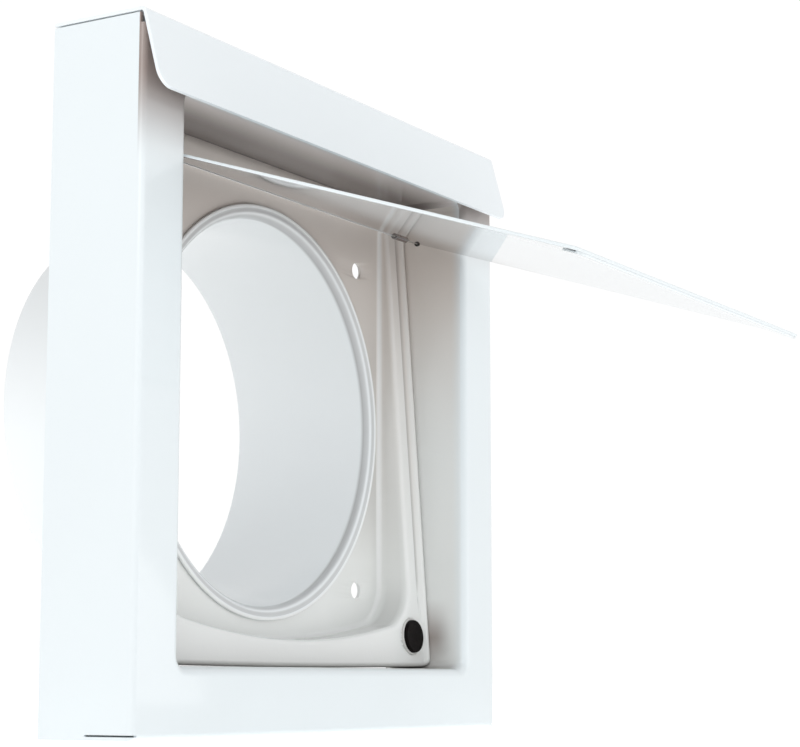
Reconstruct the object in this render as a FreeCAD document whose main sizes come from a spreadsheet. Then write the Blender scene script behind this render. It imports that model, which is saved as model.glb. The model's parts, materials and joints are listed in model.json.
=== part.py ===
"""Square wall vent hood with a round duct collar and a top-hinged gravity damper.

Frame: millimetres, +Z up. The origin is on the duct's axis, in the plane of the wall that the hood
is screwed to. -Y points out of the wall, towards the weather side, and +Y into the wall. +X is to
the right for someone who stands in front of the vent.
"""
import FreeCAD, Part
import Sketcher
import math
import os

from FreeCAD import Rotation, Vector

AXIS_X = Vector(1, 0, 0)
AXIS_Y = Vector(0, 1, 0)
AXIS_Z = Vector(0, 0, 1)

TINY = 1e-6  # lengths and volumes below this are nothing
SLACK = 0.02  # how far off an edge may lie and still be the one that is looked for
ROUND_SLACK = 0.5  # the same, for the length of a circular edge
START_RADIUS = 50  # a new outline is laid out on this circle, and its constraints then place it

# Driving dimensions: alias, value in millimetres or degrees, meaning.
DIMENSIONS = [
    ("frame_side", 162.0, "outer width and height of the square frame"),
    ("frame_depth", 26.0, "front face to wall plane"),
    ("sheet", 0.8, "thickness of the frame, cap and pan sheet"),
    ("outer_bend", 1.4, "outer radius of the frame's folds"),
    ("seam_gap", 0.4, "open seam between two folded walls"),
    ("return_width", 12.0, "width of the flange that lies on the wall"),
    ("opening_width", 129.0, "between the jambs"),
    ("opening_height", 130.0, "sill to soffit"),
    ("opening_corner", 2.5, "corner radius of the opening"),
    ("opening_bend", 2.2, "outer radius of the fold into the opening"),
    ("jamb_end", 1.4, "gap between the jambs' rear edges and the wall plane"),
    ("lip_drop", 18.8, "height of the drip lip"),
    ("lip_reach", 5.05, "how far the lip's lower edge stands out"),
    ("border_drop", 3.6, "the border's top edge below the cap's top, behind the lip"),
    ("border_step", 1.2, "depth of the step that clears the lip"),
    ("lip_corner", 3.0, "radius of the lip's lower corners"),
    ("tab_height", 10.0, "height of the cap's side tabs"),
    ("tab_length", 22.0, "length of the cap's side tabs, bend included"),
    ("tab_setback", 2.0, "tab's front edge behind the front face"),
    ("weld_gap", 0.1, "paint-thin gap between sheets that are welded together"),
    ("seat_depth", 10.0, "seat to wall plane, at the duct's axis"),
    ("seat_slope", 4.1, "degrees that the seat leans from vertical"),
    ("pan_gap", 0.1, "pan to jambs and sill"),
    ("pan_bend", 0.8, "radius of the fold from the seat into the recess"),
    ("plate_depth", 3.5, "screw plate's front face to wall plane"),
    ("recess_width", 112.0, "width of the pan's recess"),
    ("recess_bottom", 58.1, "lowest point of the recess, below the duct's axis"),
    ("recess_arc", 240.0, "radius of the recess's lower edge"),
    ("recess_corner", 12.0, "radius of the recess's lower corners"),
    ("screw_pitch", 88.0, "screw hole to screw hole, both ways"),
    ("screw_hole", 4.5, "screw hole diameter"),
    ("duct_diameter", 101.0, "outside of the collar"),
    ("duct_wall", 0.8, "thickness of the collar"),
    ("duct_reach", 39.6, "collar beyond the wall plane"),
    ("mouth_diameter", 106.6, "edge of the collar's flared mouth"),
    ("flare_bend", 2.75, "outer radius of the collar's flare"),
    ("neck_bend", 2.7, "outer radius of the pan's drawn neck"),
    ("neck_depth", 2.0, "neck behind the screw plate"),
    ("hinge_setback", 11.0, "hinge axis to wall plane"),
    ("hinge_height", 54.9, "hinge axis above the duct's axis"),
    ("pin_diameter", 1.2, "hinge pin"),
    ("pin_inner", 51.7, "the pin's inner end from the middle"),
    ("pin_length", 15.5, "hinge pin"),
    ("flap_width", 127.2, "side to side"),
    ("flap_length", 118.3, "hinge axis to free edge"),
    ("flap_tail", 0.9, "hinge axis to the edge behind it"),
    ("flap_sheet", 0.8, "thickness of the flap's sheet, which is centred on the hinge axis"),
    ("flap_hem", 3.6, "width of the hem along the free edge"),
    ("hem_sheet", 0.6, "thickness of that hem"),
    ("hem_inset", 1.2, "ends of the hem from the flap's sides"),
    ("flap_corner", 0.9, "radius of the flap's free corners"),
    ("flap_opening", 72.0, "degrees that the flap stands open at rest"),
    ("corner_notch", 4.0, "width of the cutouts in the flap's hinge corners"),
    ("notch_length", 2.3, "how far those cutouts reach past the hinge axis"),
    ("ear_inner", 52.0, "inner end of the ear that holds a pin, from the middle"),
    ("ear_length", 6.0, "length of that ear"),
    ("ear_sheet", 0.7, "wall of that ear"),
    ("bushing_flange", 5.0, "diameter of the bushing's flange"),
    ("bushing_body", 2.2, "diameter of the bushing's body"),
    ("running_gap", 0.05, "radial clearance of the pins in their bushings"),
    ("fit_gap", 0.02, "clearance of pieces that are pushed together"),
    ("end_round", 0.3, "edge radius of the pins and the magnets"),
    ("clip_diameter", 6.0, "push-on clip"),
    ("clip_gap", 0.4, "axial play between clip and bushing"),
    ("clip_sheet", 0.4, "thickness of the clip's rim"),
    ("clip_hub", 0.9, "height of the clip's hub, and its wall"),
    ("magnet_diameter", 8.8, "magnet disc"),
    ("magnet_length", 3.0, "magnet disc"),
    ("magnet_proud", 1.3, "magnet's face in front of the seat"),
    ("magnet_across", 56.1, "magnet's axis from the middle"),
    ("magnet_down", 56.3, "magnet's axis below the duct's axis"),
    ("cup_wall", 0.55, "wall of the magnet's cup"),
    ("cup_rim", 0.35, "cup's rim in front of the seat"),
    ("cup_gap", 0.07, "clearance of the cup in the seat"),
    ("cut_past", 5.0, "how far a cutter runs past the faces that it opens"),
    ("cutter", 60.0, "length of a cutter that goes through every wall of the pan"),
    ("short_cutter", 12.0, "length of a cutter that goes through the seat only"),
]

doc = FreeCAD.newDocument("wall_vent_hood")
table = doc.addObject("Spreadsheet::Sheet", "dim")
for row, (alias, value, meaning) in enumerate(DIMENSIONS, start=1):
    table.set(f"A{row}", alias)
    table.set(f"B{row}", str(value))
    table.set(f"C{row}", meaning)
    table.setAlias(f"B{row}", alias)
doc.recompute()

D = {alias: value for alias, value, _ in DIMENSIONS}

HALF_FRAME = "dim.frame_side / 2"
UNDER_CAP = "dim.frame_side / 2 - dim.sheet"
WALL_TOP = "dim.frame_side / 2 - dim.sheet - dim.seam_gap"
HALF_OPENING = D["opening_width"] / 2
HALF_RECESS = D["recess_width"] / 2
DUCT_RADIUS = D["duct_diameter"] / 2
NECK_RADIUS = D["duct_diameter"] / 2 + D["weld_gap"]


# ---- shared helpers -------------------------------------------------------------------------


def new_body(label):
    """An empty body that carries a sub-part's name."""
    body = doc.addObject("PartDesign::Body", label)
    body.Label = label
    return body


def origin_plane(body, role):
    return next(f for f in body.Origin.OriginFeatures if f.Role == role)


def new_sketch(body, name, role, offset="0"):
    """A sketch on one of the body's origin planes, moved along the plane's normal."""
    sketch = body.newObject("Sketcher::SketchObject", name)
    sketch.AttachmentSupport = [(origin_plane(body, role), "")]
    sketch.MapMode = "FlatFace"
    sketch.setExpression("AttachmentOffset.Base.z", offset)
    doc.recompute()
    return sketch


def pin_point(sketch, geometry, vertex, across, up):
    """Bind one vertex of a sketch to two expressions, measured from the sketch's origin."""
    for kind, formula in (("DistanceX", across), ("DistanceY", up)):
        start = sketch.getPoint(geometry, vertex)
        value = start.x if kind == "DistanceX" else start.y
        constraint = Sketcher.Constraint(kind, -1, 1, geometry, vertex, value)
        index = sketch.addConstraint(constraint)
        sketch.setExpression(f"Constraints[{index}]", formula)


def polygon(sketch, points):
    """A closed outline through points, each a pair of expressions."""
    count = len(points)
    first = sketch.GeometryCount
    turn = 2 * math.pi / count
    spoke = Vector(START_RADIUS, 0, 0)
    corners = [Rotation(AXIS_Z, math.degrees(i * turn)).multVec(spoke) for i in range(count)]
    for i in range(count):
        sketch.addGeometry(Part.LineSegment(corners[i], corners[(i + 1) % count]), False)
    for i in range(count):
        following = first + (i + 1) % count
        sketch.addConstraint(Sketcher.Constraint("Coincident", first + i, 2, following, 1))
    for i, (across, up) in enumerate(points):
        pin_point(sketch, first + i, 1, across, up)


def rectangle(sketch, left, right, low, high):
    polygon(sketch, [(left, low), (right, low), (right, high), (left, high)])


def circle(sketch, across, up, radius):
    """A circle whose centre and radius are expressions."""
    index = sketch.addGeometry(Part.Circle(Vector(1, 1, 0), AXIS_Z, 1), False)
    pin_point(sketch, index, 3, across, up)
    size = sketch.addConstraint(Sketcher.Constraint("Radius", index, 1))
    sketch.setExpression(f"Constraints[{size}]", radius)


def pad(body, sketch, name, length, midplane=False, towards_normal=True):
    feature = body.newObject("PartDesign::Pad", name)
    feature.Profile = sketch
    feature.Midplane = midplane
    feature.Reversed = not towards_normal
    feature.setExpression("Length", length)
    return settled(feature)


def pocket(body, sketch, name, length, both_ways=False):
    """A pocket along the sketch's normal, which must take material away."""
    before = body.Shape.Volume
    feature = body.newObject("PartDesign::Pocket", name)
    feature.Profile = sketch
    feature.Reversed = not both_ways
    feature.Midplane = both_ways
    feature.setExpression("Length", length)
    settled(feature)
    if body.Shape.Volume >= before - TINY:
        raise RuntimeError(f"{name} cuts nothing")
    return feature


def revolve(body, sketch, name, axis):
    """A full turn of the sketch about its own H_Axis or V_Axis."""
    feature = body.newObject("PartDesign::Revolution", name)
    feature.Profile = sketch
    feature.ReferenceAxis = (sketch, [axis])
    feature.Angle = 360
    return settled(feature)


def edge_names(shape, wanted):
    """Names of the edges whose midpoint and length pass the test."""
    names = []
    for index, edge in enumerate(shape.Edges, start=1):
        middle = edge.valueAt((edge.FirstParameter + edge.LastParameter) / 2)
        if wanted(edge, middle):
            names.append(f"Edge{index}")
    return names


def settled(feature):
    """Recompute and return a feature, or stop where it fails."""
    doc.recompute()
    if feature.Shape.isNull() or "Invalid" in feature.State:
        raise RuntimeError(f"{feature.Label} has no shape")
    return feature


def round_edges(body, name, radius, wanted):
    base = body.Tip
    names = edge_names(base.Shape, wanted)
    if not names:
        raise RuntimeError(f"{name} finds no edge")
    feature = body.newObject("PartDesign::Fillet", name)
    feature.Base = (base, names)
    feature.setExpression("Radius", radius)
    return settled(feature)


def near(value, target, slack=SLACK):
    return abs(value - target) < slack


def straight_along(edge, direction):
    """Whether an edge is a straight line parallel to a direction."""
    if edge.Curve.TypeId != "Part::GeomLine":
        return False
    return edge.Curve.Direction.cross(direction).Length < TINY


def is_ring(edge, radius):
    """Whether an edge is a whole circle of that radius."""
    return near(edge.Length, 2 * math.pi * radius, ROUND_SLACK)


def mirror_across_middle(body, name, features):
    """Repeat features on the other side of the vent's middle plane."""
    mirror = body.newObject("PartDesign::Mirrored", name)
    mirror.Originals = features
    mirror.MirrorPlane = (origin_plane(body, "YZ_Plane"), [""])
    body.Tip = mirror
    return settled(mirror)


def place(body, base, rotation):
    """Place a body at three expressions, turned by a fixed rotation."""
    body.Placement = FreeCAD.Placement(Vector(0, 0, 0), rotation)
    for axis, formula in zip("xyz", base):
        body.setExpression(f"Placement.Base.{axis}", formula)


def boolean(kind, name, base, tool):
    feature = doc.addObject(f"Part::{kind}", name)
    feature.Base = base
    feature.Tool = tool
    return settled(feature)


def cylinder(name, radius, length, base, rotation):
    """A cylinder from base along its own +Z, which the rotation turns."""
    tool = doc.addObject("Part::Cylinder", name)
    tool.Placement = FreeCAD.Placement(Vector(0, 0, 0), rotation)
    tool.setExpression("Radius", radius)
    tool.setExpression("Height", length)
    for axis, formula in zip("xyz", base):
        tool.setExpression(f"Placement.Base.{axis}", formula)
    return tool


def drill(name, base, tools):
    """Cut a group of tools out of a base in one step."""
    group = doc.addObject("Part::MultiFuse", name + "_tools")
    group.Shapes = tools
    return boolean("Cut", name, base, settled(group))


# Turns that carry a piece's own +Z axis to a direction of the vent.
TO_RIGHT = Rotation(AXIS_Y, 90)
TO_LEFT = Rotation(AXIS_Y, -90)
TO_FRONT = Rotation(AXIS_X, 90)
OFF_SEAT = Rotation(AXIS_X, 90 - D["seat_slope"])

SIDES = (("left", -1, TO_LEFT), ("right", 1, TO_RIGHT))


def hinge_point(distance):
    """A point on the hinge axis, at a signed distance from the middle."""
    return distance, "-dim.hinge_setback", "dim.hinge_height"


# ---- front frame: one folded sheet ----------------------------------------------------------


def fold_shell(body):
    """Front border with the side and bottom walls folded back from it."""
    inside = "(dim.frame_side / 2 - dim.sheet)"
    front = -D["frame_depth"]
    edge_x = D["frame_side"] / 2
    outline = new_sketch(body, "frame_outline", "XZ_Plane")
    rectangle(outline, "-" + HALF_FRAME, HALF_FRAME, "-" + HALF_FRAME, WALL_TOP)
    pad(body, outline, "frame_block", "dim.frame_depth")
    round_edges(
        body, "frame_outer_bends", "dim.outer_bend",
        lambda edge, mid: near(mid.y, front) and (near(abs(mid.x), edge_x) or near(mid.z, -edge_x)),
    )
    hollow = new_sketch(body, "frame_hollow", "XZ_Plane")
    rectangle(hollow, "-" + inside, inside, "-" + inside, HALF_FRAME)
    pocket(body, hollow, "frame_inside", "dim.frame_depth - dim.sheet")


def fold_wall_flange(body):
    """Flange of the side and bottom walls that lies on the wall, open at the top."""
    inside = "(dim.frame_side / 2 - dim.sheet)"
    inner = "(dim.frame_side / 2 - dim.return_width)"
    flange = new_sketch(body, "wall_flange", "XZ_Plane")
    polygon(flange, [
        ("-" + inside, "-" + inside), (inside, "-" + inside), (inside, WALL_TOP),
        (inner, WALL_TOP), (inner, "-" + inner), ("-" + inner, "-" + inner),
        ("-" + inner, WALL_TOP), ("-" + inside, WALL_TOP),
    ])
    pad(body, flange, "wall_flange_pad", "dim.sheet")


def fold_jambs(body):
    """Jambs, sill and soffit: a square tube round the opening, with rounded corners."""
    tube = new_sketch(body, "jamb_tube", "XZ_Plane", "dim.jamb_end")
    wide = "(dim.opening_width / 2 + dim.sheet)"
    tall = "(dim.opening_height / 2 + dim.sheet)"
    rectangle(tube, "-" + wide, wide, "-" + tall, tall)
    pad(body, tube, "jamb_block", "dim.frame_depth - dim.jamb_end - dim.sheet / 2")

    opening = new_sketch(body, "opening", "XZ_Plane")
    half_wide = "dim.opening_width / 2"
    half_tall = "dim.opening_height / 2"
    rectangle(opening, "-" + half_wide, half_wide, "-" + half_tall, half_tall)
    pocket(body, opening, "opening_pocket", "dim.frame_depth + dim.cut_past")

    half_height = D["opening_height"] / 2
    for name, grow, radius in (
        ("opening_corners", 0, "dim.opening_corner"),
        ("jamb_outer_corners", D["sheet"], "dim.opening_corner + dim.sheet"),
    ):
        round_edges(
            body, name, radius,
            lambda edge, mid: near(abs(mid.x), HALF_OPENING + grow)
            and near(abs(mid.z), half_height + grow) and straight_along(edge, AXIS_Y),
        )


def round_opening(body):
    """Bend between the border and the jambs, behind the border and then in front of it."""
    half_height = D["opening_height"] / 2
    front = -D["frame_depth"]
    for name, depth, grow, radius in (
        ("opening_hidden_bend", front + D["sheet"], D["sheet"], "dim.opening_bend - dim.sheet"),
        ("opening_front_bend", front, 0, "dim.opening_bend"),
    ):
        reach = grow + SLACK
        round_edges(
            body, name, radius,
            lambda edge, mid: near(mid.y, depth) and abs(mid.x) < HALF_OPENING + reach
            and abs(mid.z) < half_height + reach,
        )


def clear_lip(body):
    """The border stops short of the cap's sloping lip."""
    low = "dim.frame_side / 2 - dim.border_drop"
    rear = "-dim.frame_depth + dim.border_step"
    ahead = "-dim.frame_depth - dim.cut_past"
    step = new_sketch(body, "lip_clearance", "YZ_Plane")
    rectangle(step, ahead, rear, low, HALF_FRAME)
    pocket(body, step, "lip_clearance_pocket", "dim.frame_side + dim.cut_past", both_ways=True)


def open_bottom_seams(body):
    """The side walls and the bottom wall meet in an open seam over the front half of the depth."""
    seam = new_sketch(body, "bottom_seam", "YZ_Plane", "dim.frame_side / 2 - 2 * dim.sheet")
    floor = "-dim.frame_side / 2 + dim.sheet"
    rectangle(
        seam, "-dim.frame_depth - dim.cut_past", "-dim.frame_depth / 2",
        floor, floor + " + dim.seam_gap",
    )
    seam_cut = pocket(body, seam, "bottom_seam_pocket", "3 * dim.sheet")
    mirror_across_middle(body, "bottom_seams", [seam_cut])


def make_front_frame():
    """Front border, side and bottom walls, wall flange, and the tube of jambs, sill and soffit."""
    body = new_body("front_frame_sheet")
    fold_shell(body)
    fold_wall_flange(body)
    fold_jambs(body)
    round_opening(body)
    clear_lip(body)
    open_bottom_seams(body)
    pins = [
        cylinder(
            f"bushing_seat_{side}", "dim.bushing_body / 2 + dim.fit_gap", "4 * dim.sheet",
            hinge_point(f"{sign} * (dim.opening_width / 2 - dim.sheet)"),
            turn,
        )
        for side, sign, turn in SIDES
    ]
    return drill("front_frame", body, pins)


# ---- hood cap: top wall and drip lip --------------------------------------------------------


def fold_cap(body):
    """Top wall and the lip that leans out in front of it."""
    lean = "atan(dim.lip_reach / dim.lip_drop)"
    across = f"dim.sheet / cos({lean})"
    low = "dim.frame_side / 2 - dim.lip_drop"
    profile = new_sketch(body, "cap_profile", "YZ_Plane")
    polygon(profile, [
        ("0", HALF_FRAME), ("-dim.frame_depth", HALF_FRAME), ("-dim.frame_depth - dim.lip_reach", low),
        (f"-dim.frame_depth - dim.lip_reach + {across}", low),
        (f"-dim.frame_depth + {across} - dim.sheet * tan({lean})", UNDER_CAP), ("0", UNDER_CAP),
    ])
    pad(body, profile, "cap_sheet", "dim.frame_side", midplane=True)
    front = -D["frame_depth"]
    high = D["frame_side"] / 2
    lip_low = high - D["lip_drop"]
    round_edges(
        body, "cap_bend", "dim.outer_bend",
        lambda edge, mid: near(mid.y, front) and near(mid.z, high),
    )
    round_edges(
        body, "lip_corners", "dim.lip_corner",
        lambda edge, mid: near(abs(mid.x), high) and near(mid.z, lip_low),
    )


def make_hood_cap():
    """Top wall that covers the side walls, its drip lip, its wall flange and two welded tabs."""
    body = new_body("hood_cap")
    fold_cap(body)

    flange = new_sketch(body, "cap_flange", "XZ_Plane")
    reach = "(dim.frame_side / 2 - dim.return_width - dim.seam_gap)"
    rectangle(flange, "-" + reach, reach, "dim.frame_side / 2 - dim.return_width", UNDER_CAP)
    pad(body, flange, "cap_flange_pad", "dim.sheet")

    tab_offset = "dim.frame_side / 2 - 2 * dim.sheet - dim.weld_gap"
    tab = new_sketch(body, "side_tab", "YZ_Plane", tab_offset)
    tab_front = "-dim.frame_depth + dim.tab_setback"
    rectangle(
        tab, tab_front, tab_front + " + dim.tab_length - dim.sheet",
        "dim.frame_side / 2 - dim.tab_height", UNDER_CAP,
    )
    tab_pad = pad(body, tab, "side_tab_pad", "dim.sheet")
    mirror_across_middle(body, "side_tabs", [tab_pad])
    return body


# ---- back pan: one stamped sheet ------------------------------------------------------------

PAN_HALF_WIDE = "dim.opening_width / 2 - dim.pan_gap"
PAN_LOW = "(-dim.opening_height / 2 + dim.pan_gap)"
PAN_HIGH = "(dim.opening_height / 2 - dim.weld_gap)"


def seat_line(height, inward="0"):
    """Expression for the seat's depth at a height, set back into the sheet by inward."""
    return f"-dim.seat_depth + ({height}) * tan(dim.seat_slope * 1 deg) + {inward}"


def recess_outline(body, name, offset, grow):
    """The recess: straight sides and a shallow arc below, grown outwards by an expression."""
    sketch = new_sketch(body, name, "XZ_Plane", offset)
    centre = D["recess_arc"] - D["recess_bottom"]
    spring = centre - math.sqrt(D["recess_arc"] ** 2 - HALF_RECESS**2)
    spread = math.asin(HALF_RECESS / D["recess_arc"])
    top = D["opening_height"] / 2 + D["cut_past"]
    left_top = Vector(-HALF_RECESS, top, 0)
    right_top = Vector(HALF_RECESS, top, 0)
    left_low = Vector(-HALF_RECESS, spring, 0)
    right_low = Vector(HALF_RECESS, spring, 0)
    lower = Part.Circle(Vector(0, centre, 0), AXIS_Z, D["recess_arc"])
    down = -math.pi / 2
    sketch.addGeometry(Part.LineSegment(right_top, left_top), False)
    sketch.addGeometry(Part.LineSegment(left_top, left_low), False)
    sketch.addGeometry(Part.ArcOfCircle(lower, down - spread, down + spread), False)
    sketch.addGeometry(Part.LineSegment(right_low, right_top), False)
    for one, other in ((0, 1), (1, 2), (2, 3), (3, 0)):
        sketch.addConstraint(Sketcher.Constraint("Coincident", one, 2, other, 1))
    sketch.addConstraint(Sketcher.Constraint("Vertical", 1))
    sketch.addConstraint(Sketcher.Constraint("Vertical", 3))
    wide = f"(dim.recess_width / 2 + {grow})"
    high = "dim.opening_height / 2 + dim.cut_past"
    pin_point(sketch, 0, 1, wide, high)
    pin_point(sketch, 0, 2, "-" + wide, high)
    pin_point(sketch, 2, 3, "0", "dim.recess_arc - dim.recess_bottom")
    size = sketch.addConstraint(Sketcher.Constraint("Radius", 2, D["recess_arc"]))
    sketch.setExpression(f"Constraints[{size}]", f"dim.recess_arc + {grow}")
    doc.recompute()
    return sketch


def wedge(body, name, half_wide, low, high, inward, rear):
    """A block between the leaning seat plane and a rear plane."""
    profile = new_sketch(body, name + "_profile", "YZ_Plane")
    polygon(profile, [
        (seat_line(low, inward), low), (rear, low), (rear, high), (seat_line(high, inward), high),
    ])
    return pad(body, profile, name, f"2 * ({half_wide})", midplane=True)


def round_recess_corners(body, name, half, radius):
    """Round the two lower corners of the recess."""
    round_edges(
        body, name, radius,
        lambda edge, mid: near(abs(mid.x), half) and mid.z < 0 and straight_along(edge, AXIS_Y),
    )


def stamp_recess(body):
    """Seat and recess, with the fold between them and the pan's rounded corners."""
    wedge(body, "pan_block", PAN_HALF_WIDE, PAN_LOW, PAN_HIGH, "0", "-dim.plate_depth + dim.sheet")
    recess = recess_outline(body, "recess_outline", "dim.plate_depth", "0")
    pocket(body, recess, "recess_pocket", "dim.cutter")
    round_recess_corners(body, "recess_corners", HALF_RECESS, "dim.recess_corner")
    lean = math.tan(math.radians(D["seat_slope"]))
    below_top = D["opening_height"] / 2 - D["sheet"]
    round_edges(
        body, "recess_bend", "dim.pan_bend",
        lambda edge, mid: near(mid.y, lean * mid.z - D["seat_depth"]) and edge.Length > D["sheet"]
        and mid.z < below_top and abs(mid.x) < HALF_RECESS + SLACK,
    )
    rim = HALF_OPENING - D["pan_gap"]
    round_edges(
        body, "pan_corners", "dim.opening_corner",
        lambda edge, mid: near(abs(mid.x), rim) and abs(mid.z) > rim and straight_along(edge, AXIS_Y),
    )


def draw_neck(body):
    """Short neck drawn back from the screw plate, which the collar passes through."""
    plate_rear = -D["plate_depth"] + D["sheet"]
    hole_radius = "dim.duct_diameter / 2 + dim.weld_gap"
    ring = new_sketch(body, "neck_ring", "XZ_Plane", "dim.plate_depth - dim.sheet")
    circle(ring, "0", "0", hole_radius + " + dim.sheet")
    pad(body, ring, "neck_pad", "dim.neck_depth", towards_normal=False)
    round_edges(
        body, "neck_hidden_bend", "dim.neck_bend - dim.sheet",
        lambda edge, mid: near(mid.y, plate_rear) and is_ring(edge, NECK_RADIUS + D["sheet"]),
    )
    hole = new_sketch(body, "neck_hole", "XZ_Plane")
    circle(hole, "0", "0", hole_radius)
    pocket(body, hole, "neck_hole_pocket", "dim.cutter", both_ways=True)
    round_edges(
        body, "neck_front_bend", "dim.neck_bend",
        lambda edge, mid: near(mid.y, -D["plate_depth"]) and is_ring(edge, NECK_RADIUS),
    )


def hollow_pan():
    """What the stamping leaves empty behind its seat, so that one sheet's thickness remains."""
    body = new_body("pan_hollow")
    wedge(
        body, "hollow_block", PAN_HALF_WIDE + " - dim.sheet", PAN_LOW + " + dim.sheet",
        PAN_HIGH + " - dim.sheet", "dim.sheet / cos(dim.seat_slope * 1 deg)", "dim.cut_past",
    )
    inner_rim = HALF_OPENING - D["pan_gap"] - D["sheet"]
    round_edges(
        body, "hollow_corners", "dim.opening_corner - dim.sheet",
        lambda edge, mid: near(abs(mid.x), inner_rim) and straight_along(edge, AXIS_Y),
    )
    outer = recess_outline(body, "recess_outer", "-2 * dim.cut_past", "dim.sheet")
    pocket(body, outer, "recess_outer_pocket", "dim.cutter")
    outer_corner = "dim.recess_corner + dim.sheet"
    round_recess_corners(body, "outer_corners", HALF_RECESS + D["sheet"], outer_corner)
    return body


def screw_hole_tools():
    """Four cutters for the wall screws, on a square round the duct."""
    pitch = "dim.screw_pitch / 2"
    return [
        cylinder(
            f"screw_hole_{column}_{level}", "dim.screw_hole / 2", "dim.frame_depth",
            (f"{column} * {pitch}", "0", f"{level} * {pitch}"), TO_FRONT,
        )
        for column in (-1, 1) for level in (-1, 1)
    ]


def magnet_hole_tools():
    """Two cutters square to the seat, which start half their length behind it."""
    back = "dim.short_cutter / 2 * cos(dim.seat_slope * 1 deg)"
    down = "dim.short_cutter / 2 * sin(dim.seat_slope * 1 deg)"
    radius = "dim.magnet_diameter / 2 + dim.cup_wall + dim.cup_gap"
    return [
        cylinder(
            f"magnet_hole_{side}", radius, "dim.short_cutter",
            (
                f"{sign} * dim.magnet_across",
                seat_line("-dim.magnet_down", back),
                f"-dim.magnet_down - {down}",
            ),
            OFF_SEAT,
        )
        for side, sign, _ in SIDES
    ]


def make_back_pan():
    """Leaning seat round a recess, the screw plate in the recess, and a drawn neck for the duct."""
    front = new_body("pan_stamping")
    stamp_recess(front)
    draw_neck(front)
    sheet_only = boolean("Cut", "pan_sheet", front, hollow_pan())
    return drill("back_pan", sheet_only, screw_hole_tools() + magnet_hole_tools())


# ---- duct collar ----------------------------------------------------------------------------


def make_duct_collar():
    """Tube whose mouth is flared over the pan's drawn neck."""
    body = new_body("duct_collar")
    outside = "dim.duct_diameter / 2"
    inside = "dim.duct_diameter / 2 - dim.duct_wall"
    mouth = "dim.mouth_diameter / 2"
    back_of_flare = "-dim.plate_depth - dim.weld_gap"
    face = "-dim.plate_depth - dim.weld_gap - dim.duct_wall"
    profile = new_sketch(body, "collar_profile", "XY_Plane")
    polygon(profile, [
        (inside, face), (mouth, face), (mouth, back_of_flare),
        (outside, back_of_flare), (outside, "dim.duct_reach"), (inside, "dim.duct_reach"),
    ])
    revolve(body, profile, "collar_tube", "V_Axis")
    flare_back = -D["plate_depth"] - D["weld_gap"]
    flare_face = flare_back - D["duct_wall"]
    round_edges(
        body, "flare_outside", "dim.flare_bend",
        lambda edge, mid: near(mid.y, flare_back) and is_ring(edge, DUCT_RADIUS),
    )
    round_edges(
        body, "flare_inside", "dim.flare_bend + dim.duct_wall",
        lambda edge, mid: near(mid.y, flare_face) and is_ring(edge, DUCT_RADIUS - D["duct_wall"]),
    )
    return body


# ---- damper flap and its hinge --------------------------------------------------------------

FLAP_TURN = Rotation(AXIS_X, -D["flap_opening"])


def make_damper_flap():
    """Flat sheet with a hem along its free edge and two rolled ears that grip the hinge pins.

    Drawn shut, hanging down from its hinge line, then turned open about that line.
    """
    body = new_body("damper_flap")
    half = "dim.flap_width / 2"
    inner = "(dim.flap_width / 2 - dim.corner_notch)"
    tail = "dim.flap_tail"
    notch = "-dim.notch_length"
    outline = new_sketch(body, "flap_outline", "XZ_Plane")
    polygon(outline, [
        ("-" + half, "-dim.flap_length"), (half, "-dim.flap_length"), (half, notch),
        (inner, notch), (inner, tail), ("-" + inner, tail), ("-" + inner, notch),
        ("-" + half, notch),
    ])
    pad(body, outline, "flap_sheet_pad", "dim.flap_sheet", midplane=True)

    hem = new_sketch(body, "hem", "XZ_Plane", "-dim.flap_sheet / 2")
    rectangle(
        hem, f"-{half} + dim.hem_inset", f"{half} - dim.hem_inset",
        "-dim.flap_length", "-dim.flap_length + dim.flap_hem",
    )
    pad(body, hem, "hem_pad", "dim.hem_sheet", towards_normal=False)

    ear = new_sketch(body, "ear", "YZ_Plane", "dim.ear_inner")
    circle(ear, "0", "0", "dim.pin_diameter / 2 + dim.ear_sheet")
    ear_pad = pad(body, ear, "ear_pad", "dim.ear_length")
    mirror_across_middle(body, "ears", [ear_pad])
    bore = new_sketch(body, "ear_bore", "YZ_Plane", "dim.pin_inner - dim.fit_gap")
    circle(bore, "0", "0", "dim.pin_diameter / 2 + dim.fit_gap")
    bore_cut = pocket(body, bore, "ear_bore_pocket", "dim.pin_length")
    mirror_across_middle(body, "ear_bores", [bore_cut])

    corner_x = D["flap_width"] / 2
    corner_z = -D["flap_length"]
    round_edges(
        body, "flap_corners", "dim.flap_corner",
        lambda edge, mid: near(abs(mid.x), corner_x) and near(mid.z, corner_z),
    )
    place(body, hinge_point("0"), FLAP_TURN)
    return body


def turned_piece(label, points):
    """A round piece about its own Z axis, from a half section of (radius, height) pairs."""
    body = new_body(label)
    profile = new_sketch(body, label + "_profile", "XZ_Plane")
    polygon(profile, points)
    revolve(body, profile, label + "_turned", "V_Axis")
    return body


def make_hinge_pin(side, sign, turn):
    """Pin from the flap's ear out through the jamb."""
    body = new_body(f"hinge_pin_{side}")
    section = new_sketch(body, f"hinge_pin_{side}_section", "XY_Plane")
    circle(section, "0", "0", "dim.pin_diameter / 2")
    pad(body, section, f"hinge_pin_{side}_pad", "dim.pin_length")
    outer_end = D["pin_length"]
    round_edges(
        body, f"hinge_pin_{side}_end", "dim.end_round", lambda edge, mid: near(mid.z, outer_end),
    )
    place(body, hinge_point(f"{sign} * dim.pin_inner"), turn)
    return body


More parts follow.
